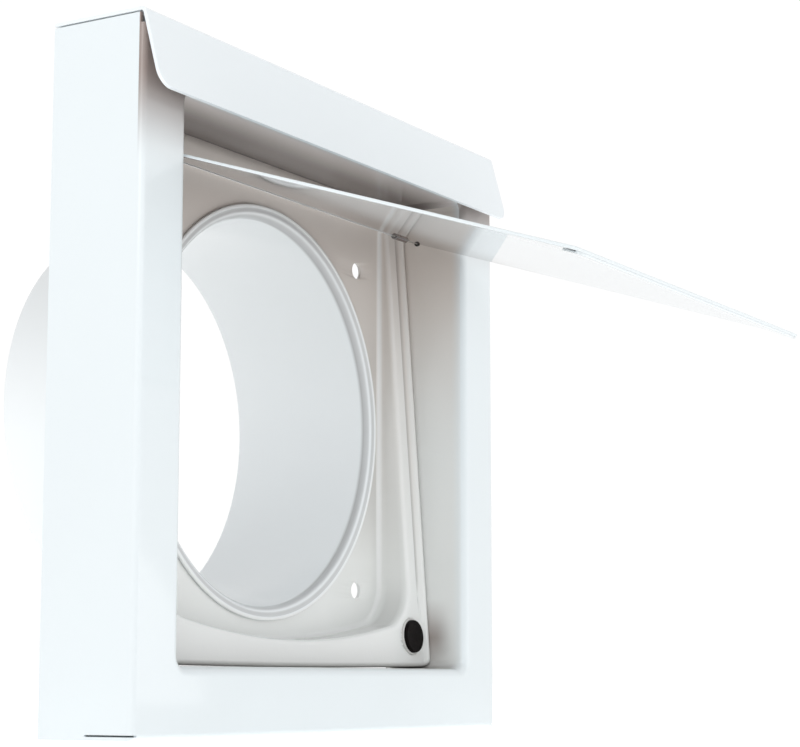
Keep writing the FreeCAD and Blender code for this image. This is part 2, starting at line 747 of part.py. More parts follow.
def make_hinge_bushing(side, sign, turn):
    """Flanged bearing for the pin, pushed into the jamb from the hidden side."""
    bore = "dim.pin_diameter / 2 + dim.running_gap"
    rim = "dim.bushing_flange / 2"
    sleeve = "dim.bushing_body / 2"
    body = turned_piece(f"hinge_bushing_{side}", [
        (bore, "0"), (sleeve, "0"), (sleeve, "dim.sheet + dim.running_gap"),
        (rim, "dim.sheet + dim.running_gap"), (rim, "2 * dim.sheet"), (bore, "2 * dim.sheet"),
    ])
    place(body, hinge_point(f"{sign} * dim.opening_width / 2"), turn)
    return body


def make_pin_clip(side, sign, turn):
    """Push-on clip that grips the pin behind the bushing."""
    bore = "dim.pin_diameter / 2"
    rim = "dim.clip_diameter / 2"
    body = turned_piece(f"pin_clip_{side}", [
        (bore, "0"), (rim, "0"), (rim, "dim.clip_sheet"),
        ("dim.pin_diameter / 2 + dim.clip_hub", "dim.clip_hub"), (bore, "dim.clip_hub"),
    ])
    start = f"{sign} * (dim.opening_width / 2 + 2 * dim.sheet + dim.clip_gap)"
    place(body, hinge_point(start), turn)
    return body


# ---- magnets --------------------------------------------------------------------------------


def seat_corner(sign):
    """Where a magnet's axis meets the seat."""
    return f"{sign} * dim.magnet_across", seat_line("-dim.magnet_down"), "-dim.magnet_down"


def make_magnet_cup(side, sign, _):
    """Holder pushed through the seat, open towards the flap."""
    bore = "dim.magnet_diameter / 2 + dim.fit_gap"
    outside = "dim.magnet_diameter / 2 + dim.cup_wall"
    floor = "dim.magnet_proud - dim.magnet_length - dim.fit_gap"
    body = turned_piece(f"magnet_cup_{side}", [
        ("0", floor + " - dim.cup_wall"), (outside, floor + " - dim.cup_wall"),
        (outside, "dim.cup_rim"), (bore, "dim.cup_rim"), (bore, floor), ("0", floor),
    ])
    place(body, seat_corner(sign), OFF_SEAT)
    return body


def make_magnet(side, sign, _):
    """Magnet disc that stands a little proud of the seat."""
    body = new_body(f"magnet_{side}")
    section = new_sketch(body, f"magnet_{side}_section", "XY_Plane", "dim.magnet_proud")
    circle(section, "0", "0", "dim.magnet_diameter / 2")
    pad(body, section, f"magnet_{side}_pad", "dim.magnet_length", towards_normal=False)
    proud = D["magnet_proud"]
    round_edges(body, f"magnet_{side}_edge", "dim.end_round", lambda edge, mid: near(mid.z, proud))
    place(body, seat_corner(sign), OFF_SEAT)
    return body


# ---- build, check and write -----------------------------------------------------------------


def check_document():
    """Stop where any object of the document is in error."""
    for item in doc.Objects:
        if "Invalid" in item.State or "Error" in item.State:
            raise RuntimeError(f"{item.Label} did not recompute: {item.State}")


def write_pieces(pieces):
    """Write each sub-part as one STEP file named after its label."""
    os.makedirs("parts", exist_ok=True)
    for piece in pieces:
        shape = piece.Shape
        if shape.isNull() or not shape.isValid():
            raise RuntimeError(f"{piece.Label} has no valid shape")
        shape.exportStep(f"parts/{piece.Label}.step")
        print(f"{piece.Label:22s} {len(shape.Solids)} solid  {shape.Volume:10.1f} mm3")


pieces = [
    make_front_frame(), make_hood_cap(), make_back_pan(), make_duct_collar(), make_damper_flap(),
]
for maker in (make_hinge_pin, make_hinge_bushing, make_pin_clip, make_magnet_cup, make_magnet):
    pieces += [maker(*one_side) for one_side in SIDES]
doc.recompute()
check_document()
write_pieces(pieces)
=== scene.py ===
"""Looks of the wall vent hood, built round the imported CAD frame. Metres; +Z up, -Y out of the wall."""

import json
import math

import bmesh
import bpy
from mathutils import Matrix, Vector
from mathutils.geometry import tessellate_polygon

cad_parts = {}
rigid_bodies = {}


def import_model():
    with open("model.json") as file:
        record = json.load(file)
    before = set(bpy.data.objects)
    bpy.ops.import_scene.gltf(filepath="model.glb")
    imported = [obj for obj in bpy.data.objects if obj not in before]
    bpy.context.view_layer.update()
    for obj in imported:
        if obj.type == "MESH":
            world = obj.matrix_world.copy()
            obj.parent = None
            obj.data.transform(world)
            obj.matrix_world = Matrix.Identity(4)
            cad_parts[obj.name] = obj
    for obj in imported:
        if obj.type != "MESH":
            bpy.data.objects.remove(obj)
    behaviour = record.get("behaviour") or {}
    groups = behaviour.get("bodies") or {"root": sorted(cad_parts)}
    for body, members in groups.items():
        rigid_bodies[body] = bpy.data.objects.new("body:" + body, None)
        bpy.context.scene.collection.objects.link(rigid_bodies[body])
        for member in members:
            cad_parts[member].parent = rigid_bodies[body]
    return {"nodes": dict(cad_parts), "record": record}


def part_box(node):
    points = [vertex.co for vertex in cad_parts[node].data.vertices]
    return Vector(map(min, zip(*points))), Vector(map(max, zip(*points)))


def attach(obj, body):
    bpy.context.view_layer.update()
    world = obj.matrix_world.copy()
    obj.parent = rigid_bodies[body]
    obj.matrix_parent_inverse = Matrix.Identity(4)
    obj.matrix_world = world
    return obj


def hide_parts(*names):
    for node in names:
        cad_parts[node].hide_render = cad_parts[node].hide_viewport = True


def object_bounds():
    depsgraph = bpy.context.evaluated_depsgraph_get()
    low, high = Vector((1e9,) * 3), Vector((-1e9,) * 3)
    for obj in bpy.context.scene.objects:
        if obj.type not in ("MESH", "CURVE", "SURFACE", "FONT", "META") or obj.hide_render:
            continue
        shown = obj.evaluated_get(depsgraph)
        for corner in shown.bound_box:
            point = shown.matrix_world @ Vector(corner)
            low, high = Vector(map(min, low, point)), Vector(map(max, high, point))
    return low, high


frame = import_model()
cad_low, cad_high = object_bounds()

NODES = frame["nodes"]
RECORD = frame["record"]
MM = 0.001


# ---- sizes in millimetres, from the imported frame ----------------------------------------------


def box_mm(node):
    low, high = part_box(node)
    return low / MM, high / MM


PAN_LOW, PAN_HIGH = box_mm("back_pan")
CAP_LOW, CAP_HIGH = box_mm("hood_cap")
COLLAR_LOW, COLLAR_HIGH = box_mm("duct_collar")
PIN_LOW, PIN_HIGH = box_mm("hinge_pin_right")
BUSH_LOW, BUSH_HIGH = box_mm("hinge_bushing_right")
CLIP_LOW, CLIP_HIGH = box_mm("pin_clip_right")
CUP_LOW, CUP_HIGH = box_mm("magnet_cup_right")
JOINT = RECORD["behaviour"]["joints"][0]
HINGE = Vector(JOINT["pos_m"]) / MM
SCREWS = next(m for m in RECORD["mounts"] if m["kind"] == "bolt_pattern")
SCREW_HALF = SCREWS["dims"]["spacing_x_mm"] / 2
SCREW_RADIUS = SCREWS["dims"]["hole_r_mm"]
PLATE_Y = SCREWS["pos_m"][1] / MM

SHEET = 0.8
SEAT_SLOPE = math.tan(math.radians(4.1))
SEAT_Y = PAN_LOW.y - PAN_LOW.z * SEAT_SLOPE


def seat_y(z):
    """Depth of the leaning seat's face at a height."""
    return SEAT_Y + z * SEAT_SLOPE


# ---- mesh helpers -------------------------------------------------------------------------------


class Skin:
    """Points in millimetres and faces of one piece, laid down row by row."""

    def __init__(self):
        self.points = []
        self.tones = []
        self.faces = []

    def row(self, points, tone=0.0):
        """Add points, with a tone for each: above zero a painted highlight, below zero painted shade."""
        start = len(self.points)
        self.points.extend(Vector(p) for p in points)
        added = len(self.points) - start
        self.tones.extend(tone if isinstance(tone, list) else [tone] * added)
        return list(range(start, len(self.points)))

    def strip(self, one, two, closed=False):
        """Quads between two rows of the same length."""
        count = len(one)
        for i in range(count if closed else count - 1):
            j = (i + 1) % count
            self.faces.append((one[i], one[j], two[j], two[i]))

    def strips(self, rows, closed=False):
        for one, two in zip(rows, rows[1:]):
            self.strip(one, two, closed)

    def fill(self, outline, holes=()):
        """Triangles over a flat outline of point indices, with holes left open."""
        loops = [outline, *holes]
        order = [index for loop in loops for index in loop]
        flat = [[self.points[index] for index in loop] for loop in loops]
        for corners in tessellate_polygon(flat):
            self.faces.append(tuple(order[c] for c in corners))

    def make(self, name, toward, matrix=None):
        """The mesh object, with an open skin turned so that on the whole it looks toward a direction."""
        mesh = bpy.data.meshes.new(name)
        mesh.from_pydata([p * MM for p in self.points], [], self.faces)
        tone = mesh.attributes.new("tone", "FLOAT", "POINT")
        tone.data.foreach_set("value", self.tones)
        form = bmesh.new()
        form.from_mesh(mesh)
        bmesh.ops.recalc_face_normals(form, faces=form.faces)
        facing = sum(face.calc_area() * face.normal.dot(Vector(toward)) for face in form.faces)
        total = sum(face.calc_area() for face in form.faces)
        if facing < -0.02 * total:
            bmesh.ops.reverse_faces(form, faces=form.faces)
        if matrix is not None:
            bmesh.ops.transform(form, matrix=matrix, verts=form.verts)
            if matrix.determinant() < 0:
                bmesh.ops.reverse_faces(form, faces=form.faces)
        form.to_mesh(mesh)
        form.free()
        piece = bpy.data.objects.new(name, mesh)
        bpy.context.scene.collection.objects.link(piece)
        return piece


def thicken(piece, thickness):
    """Give a skin its thickness, behind the side that its faces look to."""
    solid = piece.modifiers.new("thickness", "SOLIDIFY")
    solid.thickness = thickness * MM
    solid.offset = -1.0
    solid.use_even_offset = True
    solid.use_rim = True


def soften(piece, width):
    """Round the sharp edges a little."""
    bevel = piece.modifiers.new("soft_edges", "BEVEL")
    bevel.width = width * MM
    bevel.segments = 2
    bevel.limit_method = "ANGLE"
    bevel.angle_limit = math.radians(50.0)


def apply_all(piece):
    """Replace a piece's mesh by the result of its modifiers."""
    bpy.context.view_layer.update()
    graph = bpy.context.evaluated_depsgraph_get()
    mesh = bpy.data.meshes.new_from_object(piece.evaluated_get(graph))
    old = piece.data
    piece.modifiers.clear()
    piece.data = mesh
    bpy.data.meshes.remove(old)
    mesh.name = piece.name
    return piece


def settle(piece):
    """Apply the modifiers, and shade bends smoothly between flat areas."""
    apply_all(piece)
    for face in piece.data.polygons:
        face.use_smooth = True
    weighted = piece.modifiers.new("weighted", "WEIGHTED_NORMAL")
    weighted.weight = 80
    return apply_all(piece)


def ring(radius, y, count, x=0.0, z=0.0):
    """Points of a circle about an axis along Y."""
    step = 2 * math.pi / count
    return [(x + radius * math.cos(i * step), y, z + radius * math.sin(i * step)) for i in range(count)]


def arc(cx, cy, radius, start, stop, count):
    """Points of an arc in a plane, in degrees, both ends included."""
    turn = (math.radians(stop) - math.radians(start)) / count
    first = math.radians(start)
    return [
        (cx + radius * math.cos(first + i * turn), cy + radius * math.sin(first + i * turn))
        for i in range(count + 1)
    ]


def lathe(name, profile, count, matrix):
    """A closed section of (radius, height[, tone]) turned about +Z, then placed by a matrix."""
    skin = Skin()
    step = 2 * math.pi / count
    rows = []
    for radius, height, *tone in profile:
        rows.append(skin.row(
            [(radius * math.cos(i * step), radius * math.sin(i * step), height) for i in range(count)],
            tone[0] if tone else 0.0,
        ))
    skin.strips(rows + rows[:1], closed=True)
    return settle(skin.make(name, (0, 0, 1), matrix))


def smoothstep(low, high, value):
    t = min(1.0, max(0.0, (value - low) / (high - low)))
    return t * t * (3 - 2 * t)


def mix(one, two, t):
    return one + (two - one) * t


# ---- materials ----------------------------------------------------------------------------------


class Shader:
    """A small helper that adds nodes to one material and links them."""

    def __init__(self, name, **constants):
        self.material = bpy.data.materials.new(name)
        self.material.use_nodes = True
        self.tree = self.material.node_tree
        self.tree.nodes.clear()
        self.surface = self.node("ShaderNodeBsdfPrincipled")
        output = self.node("ShaderNodeOutputMaterial")
        self.link(self.surface, "BSDF", output, "Surface")
        self.place = self.node("ShaderNodeTexCoord")
        for socket, value in constants.items():
            self.surface.inputs[socket.replace("_", " ")].default_value = value

    def node(self, kind, **inputs):
        made = self.tree.nodes.new(kind)
        for socket, value in inputs.items():
            made.inputs[socket].default_value = value
        return made

    def link(self, source, out_name, target, in_name):
        self.tree.links.new(source.outputs[out_name], target.inputs[in_name])

    def noise(self, scale, detail=2.0, roughness=0.5):
        """Noise in the object's own coordinates, in cells per metre."""
        made = self.node("ShaderNodeTexNoise", Scale=scale, Detail=detail, Roughness=roughness)
        self.link(self.place, "Object", made, "Vector")
        return made

    def spread(self, source, out_name, low, high, start=0.25, stop=0.75):
        """Map a texture's values smoothly to a range of numbers."""
        made = self.node("ShaderNodeMapRange")
        made.interpolation_type = "SMOOTHSTEP"
        made.inputs["From Min"].default_value = start
        made.inputs["From Max"].default_value = stop
        made.inputs["To Min"].default_value = low
        made.inputs["To Max"].default_value = high
        self.link(source, out_name, made, "Value")
        return made

    def math(self, operation, one, two):
        """Arithmetic on two values, each a node's output or a number."""
        made = self.node("ShaderNodeMath")
        made.operation = operation
        for index, value in enumerate((one, two)):
            if isinstance(value, (int, float)):
                made.inputs[index].default_value = value
            else:
                self.tree.links.new(value, made.inputs[index])
        return made.outputs[0]

    def tint(self, factor, first, second):
        """Blend two colours, each a node's output or a colour, by a factor output."""
        made = self.node("ShaderNodeMix")
        made.data_type = "RGBA"
        for index, value in ((6, first), (7, second)):
            if isinstance(value, tuple):
                made.inputs[index].default_value = (*value, 1)
            else:
                self.tree.links.new(value, made.inputs[index])
        self.tree.links.new(factor, made.inputs[0])
        return made.outputs[2]

    def color(self, output):
        self.tree.links.new(output, self.surface.inputs["Base Color"])

    def bumps(self, *layers):
        """Stack bump layers, each a texture, its strength and its depth in metres."""
        below = None
        for texture, strength, depth in layers:
            made = self.node("ShaderNodeBump", Strength=strength, Distance=depth)
            self.link(texture, "Fac", made, "Height")
            if below is not None:
                self.link(below, "Normal", made, "Normal")
            below = made
        self.link(below, "Normal", self.surface, "Normal")


WHITE = (0.84, 0.90, 0.925)
# Painted light: the cap's white is a lighter copy of the same paint, standing in for light on the hood.
LIT_CAP_WHITE = (0.90, 0.955, 0.985)
# Painted shade: the collar's paint runs from this light white low down to a darker grey toward its top.
DUCT_LOW = (0.93, 0.965, 0.98)
DUCT_SHADED_HIGH = (0.77, 0.80, 0.81)
# Painted shade inside the hood's mouth: lighter low down, darker and warmer toward the top.
INSIDE_SHADE_LOW = (0.87, 0.89, 0.875)
INSIDE_SHADE_HIGH = (0.78, 0.72, 0.67)
JAMB_LOW = (0.82, 0.835, 0.82)
SOFFIT_FRONT = (0.97, 0.90, 0.87)
# Brown painted shadow, behind the hood's lip and beside the magnets.
PAINTED_SHADOW_BROWN = (0.30, 0.235, 0.21)
# Near-black painted shade: the back of the soffit, the sill seam, and every negative tone.
PAINTED_SHADE_DARK = (0.10, 0.075, 0.07)
SPECK = (0.3, 0.27, 0.25)
# Painted highlight colour, used for every positive tone.
PAINTED_HIGHLIGHT = (0.96, 0.97, 0.965)
# Painted shade and reflection on the flap's underside inside the hood.
UNDER_PAINTED_SHADE = (0.14, 0.11, 0.10)
UNDER_OUTSIDE = (0.70, 0.74, 0.76)
PATCH_SHADE = 0.985
GLOSS_LOW = 0.31
GLOSS_HIGH = 0.43

# Bounds of the painted areas of the front frame, in metres.
MOUTH_HALF_X = 0.0647
MOUTH_HALF_Z = 0.0653
MOUTH_FADE = (-0.0262, -0.0215)
CEILING_Z = 0.0640
CEILING_FADE = (-0.026, -0.011)
FACE_Y = -0.0245
LIP_SHADE_Z = (0.044, 0.068)
# Painted shade in the gap of the sill seam.
SILL_SEAM_Z = (-0.0652, -0.0632)
SILL_SEAM_Y = (-0.0255, -0.0215)
# Painted shade on the jamb beside the magnets.
MAGNET_SHADE_Z = -0.0565
MAGNET_SHADE_REACH = 0.0105
MAGNET_SHADE_Y = (-0.0225, -0.0155)


def patchy(shader, cloud, color):
    """A colour with faint, wide patches."""
    patch = shader.spread(cloud, "Fac", 0.0, 1.0)
    return shader.tint(patch.outputs[0], tuple(PATCH_SHADE * c for c in color), color)


def rising(shader, axes, low_color, high_color, foot, head):
    """A blend from one colour to another between two heights."""
    height = shader.spread(axes, "Z", 0.0, 1.0, foot, head)
    return shader.tint(height.outputs[0], low_color, high_color)


def frame_paint(shader, axes, cloud):
    """Clean outside. In the mouth, painted shade that darkens and warms toward the top and goes near black
    at the back of the soffit; painted shade in the sill seam, beside the magnets and behind the lip.
    """
    across = shader.math("ABSOLUTE", axes.outputs["X"], 0.0)
    up = shader.math("ABSOLUTE", axes.outputs["Z"], 0.0)
    behind = shader.spread(axes, "Y", 0.0, 1.0, *MOUTH_FADE)
    within_x = shader.math("LESS_THAN", across, MOUTH_HALF_X)
    within_z = shader.math("LESS_THAN", up, MOUTH_HALF_Z)
    mouth = shader.math("MULTIPLY", shader.math("MULTIPLY", within_x, within_z), behind.outputs[0])

    # Painted shade: the frame's mouth darkens and warms toward the top.
    mouth_shade = rising(shader, axes, JAMB_LOW, INSIDE_SHADE_HIGH, -0.01, 0.055)
    # Painted shade on the soffit, near black toward its back.
    deep = shader.spread(axes, "Y", 0.0, 0.93, *CEILING_FADE)
    soffit_shade = shader.tint(deep.outputs[0], SOFFIT_FRONT, PAINTED_SHADE_DARK)
    mouth_shade = shader.tint(shader.math("GREATER_THAN", axes.outputs["Z"], CEILING_Z), mouth_shade, soffit_shade)

    # Painted shade in the gap of the sill seam.
    seam = shader.spread(axes, "Z", 0.55, 0.0, *SILL_SEAM_Z)
    far = shader.spread(axes, "Y", 0.0, 1.0, *SILL_SEAM_Y)
    mouth_shade = shader.tint(shader.math("MULTIPLY", seam.outputs[0], far.outputs[0]), mouth_shade, PAINTED_SHADE_DARK)

    # Painted shade in a band at the magnets' height, near the seat.
    rise = shader.math("ABSOLUTE", shader.math("SUBTRACT", axes.outputs["Z"], MAGNET_SHADE_Z), 0.0)
    spot = shader.math("SUBTRACT", 1.0, shader.math("DIVIDE", rise, MAGNET_SHADE_REACH))
    spot = shader.math("MAXIMUM", spot, 0.0)
    near_seat = shader.spread(axes, "Y", 0.0, 0.8, *MAGNET_SHADE_Y)
    mouth_shade = shader.tint(shader.math("MULTIPLY", spot, near_seat.outputs[0]), mouth_shade, PAINTED_SHADOW_BROWN)

    under_lip = shader.spread(axes, "Z", 0.0, 0.97, *LIP_SHADE_Z)
    face = shader.math("LESS_THAN", axes.outputs["Y"], FACE_Y)
    shade = shader.math("MULTIPLY", under_lip.outputs[0], face)
    return shader.tint(mouth, shader.tint(shade, patchy(shader, cloud, WHITE), PAINTED_SHADOW_BROWN), mouth_shade)


def base_paint(shader, place, axes, cloud):
    """The paint's colour before its local tones and specks."""
    if place == "frame":
        return frame_paint(shader, axes, cloud)
    if place == "inside":
        # Painted shade: sheet in the mouth darkens and warms toward the top.
        return rising(shader, axes, INSIDE_SHADE_LOW, INSIDE_SHADE_HIGH, -0.065, 0.065)
    if place == "duct":
        # Painted shade: the collar darkens toward its top.
        return rising(shader, axes, DUCT_LOW, DUCT_SHADED_HIGH, -0.01, 0.05)
    # The cap gets the lighter white as painted light; other clean sheet gets the plain white.
    return patchy(shader, cloud, LIT_CAP_WHITE if place == "cap" else WHITE)


def painted_steel(name, place, coat_roughness=0.045):
    """White powder coat: orange peel, uneven gloss, fine specks, and tones given with the mesh, which are
    painted highlights and painted shade.

    place is "outside" for clean sheet, "cap" for clean sheet in a lighter white as painted light, "duct" for
    the collar, painted darker toward its top as painted shade, "inside" for sheet in the hood's mouth,
    painted darker and warmer toward the top as painted shade, and "frame" for the front frame, which is both
    inside and outside.
    """
    shader = Shader(name, IOR=1.5, Coat_Weight=0.8, Coat_Roughness=coat_roughness, Coat_IOR=1.5)
    peel = shader.noise(700.0, 2.0)
    waves = shader.noise(30.0, 1.0)
    cloud = shader.noise(22.0, 3.0)
    specks = shader.noise(2600.0, 2.0)
    shader.bumps((waves, 0.06, 0.0015), (peel, 0.12, 0.0002))
    gloss = shader.spread(cloud, "Fac", GLOSS_LOW, GLOSS_HIGH)
    shader.link(gloss, "Result", shader.surface, "Roughness")

    axes = shader.node("ShaderNodeSeparateXYZ")
    shader.link(shader.place, "Object", axes, "Vector")
    base = base_paint(shader, place, axes, cloud)
    # Tones from the mesh: above zero they blend toward the painted highlight colour, below zero toward
    # near-black painted shade.
    tone = shader.node("ShaderNodeAttribute")
    tone.attribute_name = "tone"
    lighter = shader.math("MAXIMUM", tone.outputs["Fac"], 0.0)
    darker = shader.math("MULTIPLY", shader.math("MINIMUM", tone.outputs["Fac"], 0.0), -1.0)
    base = shader.tint(lighter, base, PAINTED_HIGHLIGHT)
    base = shader.tint(darker, base, PAINTED_SHADE_DARK)
    grime = shader.spread(specks, "Fac", 0.0, 0.03, 0.62, 0.8)
    shader.color(shader.tint(grime.outputs[0], base, SPECK))
    return shader.material


def underside_paint():
    """The flap's duct side: glossier, so that it mirrors what lies below it, and painted dark inside the
    hood as painted shade and reflection of the hood's dark inside.
    """
    shader = Shader(
        "powder_coat_under", IOR=1.5, Specular_IOR_Level=0.0,
        Coat_Weight=0.95, Coat_Roughness=0.03, Coat_IOR=1.7,
    )
    peel = shader.noise(700.0, 2.0)
    waves = shader.noise(26.0, 1.0)
    cloud = shader.noise(22.0, 3.0)
    shader.bumps((waves, 0.04, 0.0015), (peel, 0.06, 0.0002))
    gloss = shader.spread(cloud, "Fac", GLOSS_LOW, GLOSS_HIGH)
    shader.link(gloss, "Result", shader.surface, "Roughness")
    axes = shader.node("ShaderNodeSeparateXYZ")
    shader.link(shader.place, "Object", axes, "Vector")
    # Painted shade and reflection: the part inside the hood is painted dark.
    reach = shader.spread(axes, "Y", 1.0, 0.0, -0.06, -0.02)
    shader.color(shader.tint(reach.outputs[0], UNDER_PAINTED_SHADE, UNDER_OUTSIDE))
    return shader.material


def plated_steel(name):
    """Bright zinc with a fine drawn grain."""
    shader = Shader(name, Metallic=1.0)
    grain = shader.noise(2500.0, 3.0)
    cloud = shader.noise(400.0, 2.0)
    blend = shader.spread(cloud, "Fac", 0.0, 1.0)
    shader.color(shader.tint(blend.outputs[0], (0.55, 0.55, 0.54), (0.72, 0.71, 0.69)))
    gloss = shader.spread(grain, "Fac", 0.22, 0.4)
    shader.link(gloss, "Result", shader.surface, "Roughness")
    shader.bumps((grain, 0.1, 0.00005))
    return shader.material


def moulded(name, first, second, rough_low, rough_high, specular=0.5):
    """Plastic or epoxy skin with a fine mould texture."""
    shader = Shader(name, IOR=1.5, Specular_IOR_Level=specular)
    grain = shader.noise(1800.0, 3.0)
    cloud = shader.noise(300.0, 2.0)
    blend = shader.spread(cloud, "Fac", 0.0, 1.0)
    shader.color(shader.tint(blend.outputs[0], first, second))
    gloss = shader.spread(grain, "Fac", rough_low, rough_high)
    shader.link(gloss, "Result", shader.surface, "Roughness")
    shader.bumps((grain, 0.12, 0.00006))
    return shader.material


PAINT = painted_steel("powder_coat", "outside")
PAINT_INSIDE = painted_steel("powder_coat_inside", "inside", 0.07)
PAINT_DUCT = painted_steel("powder_coat_duct", "duct", 0.15)
PAINT_CAP = painted_steel("powder_coat_cap", "cap")
PAINT_FRAME = painted_steel("powder_coat_frame", "frame")
PAINT_UNDER = underside_paint()
ZINC = plated_steel("zinc_plate")
WHITE_NYLON = moulded("white_nylon", (0.74, 0.74, 0.72), (0.8, 0.8, 0.78), 0.35, 0.5)
BLACK_NYLON = moulded("black_nylon", (0.02, 0.02, 0.02), (0.035, 0.034, 0.033), 0.45, 0.6)
MAGNET = moulded("black_epoxy", (0.004, 0.003, 0.003), (0.008, 0.006, 0.006), 0.45, 0.6, 0.06)

FINISH = {
    "white_enamel": PAINT_FRAME,
    "zinc_steel": ZINC,
    "black_nylon": BLACK_NYLON,
    "white_nylon": WHITE_NYLON,
    "magnet_black": MAGNET,
}
SLOTS = {part["node"]: part["material_slot"] for part in RECORD["subparts"]}
BODIES = {node: body for body, nodes in RECORD["behaviour"]["bodies"].items() for node in nodes}

for node, slot in SLOTS.items():
    NODES[node].data.materials.clear()
    NODES[node].data.materials.append(FINISH[slot])


def stand_for(piece, node, *materials):
    """Give a finished piece its material, and let it stand for a CAD node."""
    piece.data.materials.clear()
    for material in materials:
        piece.data.materials.append(material)
    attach(piece, BODIES[node])
    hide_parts(node)


# ---- back pan -----------------------------------------------------------------------------------

RECESS_HALF = 56.0
RECESS_BOTTOM = 58.1
RECESS_ARC = 240.0
RECESS_CORNER = 12.0
RIM_CORNER = 2.5
RIM_ARC = 4000.0
SIDE_POINTS = 44
CORNER_POINTS = 18
BOTTOM_POINTS = 60
RECESS_FOOT = 1.5
RECESS_BEND = 1.1
RIM_BEND = 1.2
BORDER_INSET = 1.6
FULL_DROP = 2.9
FILLET_STEPS = 8
SEAT_STEPS = 48
RIM_STEPS = 6
# Painted shade on the rim where it bends back to the wall.
RIM_TONE = -0.6
SCREW_POINTS = 32
NECK_POINTS = 160
NECK_HOLE = 53.9
NECK_RADIUS = 53.3
NECK_BEND = 2.7
GROOVE_X = 61.3
GROOVE_DEPTH = 0.75
RIDGE_HEIGHT = 1.1
TOP_BEAD = 0.3


class UPath:
    """A U-shaped outline that can be offset outwards: sides, rounded corners and a bottom arc."""

    def __init__(self, half, bottom, corner, big, top):
        self.half = half
        self.corner = corner
        self.big = big
        self.top = top
        self.cx = half - corner
        self.bz = big - bottom
        self.cz = self.bz - math.sqrt((big - corner) ** 2 - self.cx**2)
        self.end = math.atan2(self.cz - self.bz, self.cx)

    def points(self, offset):
        """(x, z) pairs from the top right down and round to the top left."""
        right = []
        for i in range(SIDE_POINTS):
            right.append((self.half + offset, mix(self.top, self.cz, i / SIDE_POINTS)))
        for i in range(CORNER_POINTS):
            turn = mix(0.0, self.end, i / CORNER_POINTS)
            reach = self.corner + offset
            right.append((self.cx + reach * math.cos(turn), self.cz + reach * math.sin(turn)))
        half_bottom = BOTTOM_POINTS // 2
        for i in range(half_bottom):
            turn = mix(self.end, -math.pi / 2, i / half_bottom)
            reach = self.big + offset
            right.append((reach * math.cos(turn), self.bz + reach * math.sin(turn)))
        middle = [(0.0, self.bz - self.big - offset)]
        left = [(-x, z) for x, z in reversed(right)]
        return right + middle + left


def pan_rows():
    """Rows of the pan's face, from the screw plate's border out to the back edge of its rim."""
    top = PAN_HIGH.z
    recess = UPath(RECESS_HALF, RECESS_BOTTOM, RECESS_CORNER, RECESS_ARC, top)
    rim = UPath(PAN_HIGH.x, -PAN_LOW.z, RIM_CORNER, RIM_ARC, top)
    flat = recess.points(0.0)
    depths = [seat_y(z) for _, z in flat]
    drops = [PLATE_Y - depth for depth in depths]
    scales = [min(1.0, drop / FULL_DROP) for drop in drops]

    def recess_row(profile):
        """One row whose offset and depth come from the local seat depth and bend scale."""
        row = []
        cache = {}
        for i, (depth, scale) in enumerate(zip(depths, scales)):
            offset, y = profile(depth, scale)
            key = round(offset, 6)
            if key not in cache:
                cache[key] = recess.points(offset)
            x, z = cache[key][i]
            row.append((x, y, z))
        return row

    border = recess_row(lambda depth, scale: (-BORDER_INSET, PLATE_Y))
    rows = [(border, [plate_shading(z) for _, _, z in border])]
    for i in range(FILLET_STEPS + 1):
        a = math.radians(90.0 * i / FILLET_STEPS)
        # Painted highlight along the fillet at the foot of the recess wall.
        tone = 0.75 * math.sin(math.pi * min(1.0, i / 7))
        rows.append((recess_row(lambda depth, scale: (
            RECESS_FOOT * scale * (math.sin(a) - 1), PLATE_Y - RECESS_FOOT * scale * (1 - math.cos(a)),
        )), tone))
    # Painted shade on the recess wall, darker toward its bottom.
    for t in (0.2, 0.5, 0.8):
        rows.append((recess_row(lambda depth, scale: (
            0.0, mix(PLATE_Y - RECESS_FOOT * scale, depth + RECESS_BEND * scale, t),
        )), [-0.05 - 0.22 * smoothstep(-38.0, -54.0, z) for _, z in flat]))
    # Painted highlight growing over the bend onto the seat.
    for i in range(FILLET_STEPS + 1):
        b = math.radians(90.0 * i / FILLET_STEPS)
        rows.append((recess_row(lambda depth, scale: (
            RECESS_BEND * scale * (1 - math.cos(b)), depth + RECESS_BEND * scale * (1 - math.sin(b)),
        )), 0.45 * i / FILLET_STEPS))
    inner = rows[-1][0]
    outer = rim.points(-RIM_BEND)
    for k in range(1, SEAT_STEPS + 1):
        row = []
        tones = []
        for (x0, _, z0), (x1, z1) in zip(inner, outer):
            x = mix(x0, x1, k / SEAT_STEPS)
            z = mix(z0, z1, k / SEAT_STEPS)
            row.append((x, seat_y(z) + groove_depth(abs(x), z) - ridge_height(abs(x), z), z))
            tones.append(seat_shading(abs(x), z))
        rows.append((row, tones))
    seat_edge, edge_tones = rows[-1]
    # The rim's bend fades to painted shade.
    for i in range(1, RIM_STEPS + 1):
        b = math.radians(90.0 * i / RIM_STEPS)
        edge = rim.points(RIM_BEND * (math.sin(b) - 1))
        row = []
        for (x, y, z), (bx, bz) in zip(seat_edge, edge):
            row.append((bx, y + RIM_BEND * (1 - math.cos(b)), bz))
        rows.append((row, [mix(tone, RIM_TONE, i / RIM_STEPS) for tone in edge_tones]))
    rows.append(([(x, PLATE_Y + SHEET, z) for x, _, z in rows[-1][0]], RIM_TONE))
    return rows


def plate_shading(z):
    """Painted light and shade on the screw plate: lighter at its foot, darker above it, and a little less
    dark near the top.
    """
    return mix(0.12, -0.22, smoothstep(-50.0, -15.0, z)) + 0.14 * smoothstep(15.0, 40.0, z)


def groove_depth(x, z):
    """A shallow groove pressed into the seat along each side, which runs out above the magnets."""
    reach = smoothstep(-49.0, -42.0, z)
    groove = max(0.0, 1 - (x - GROOVE_X) ** 2)
    return GROOVE_DEPTH * groove * groove * reach


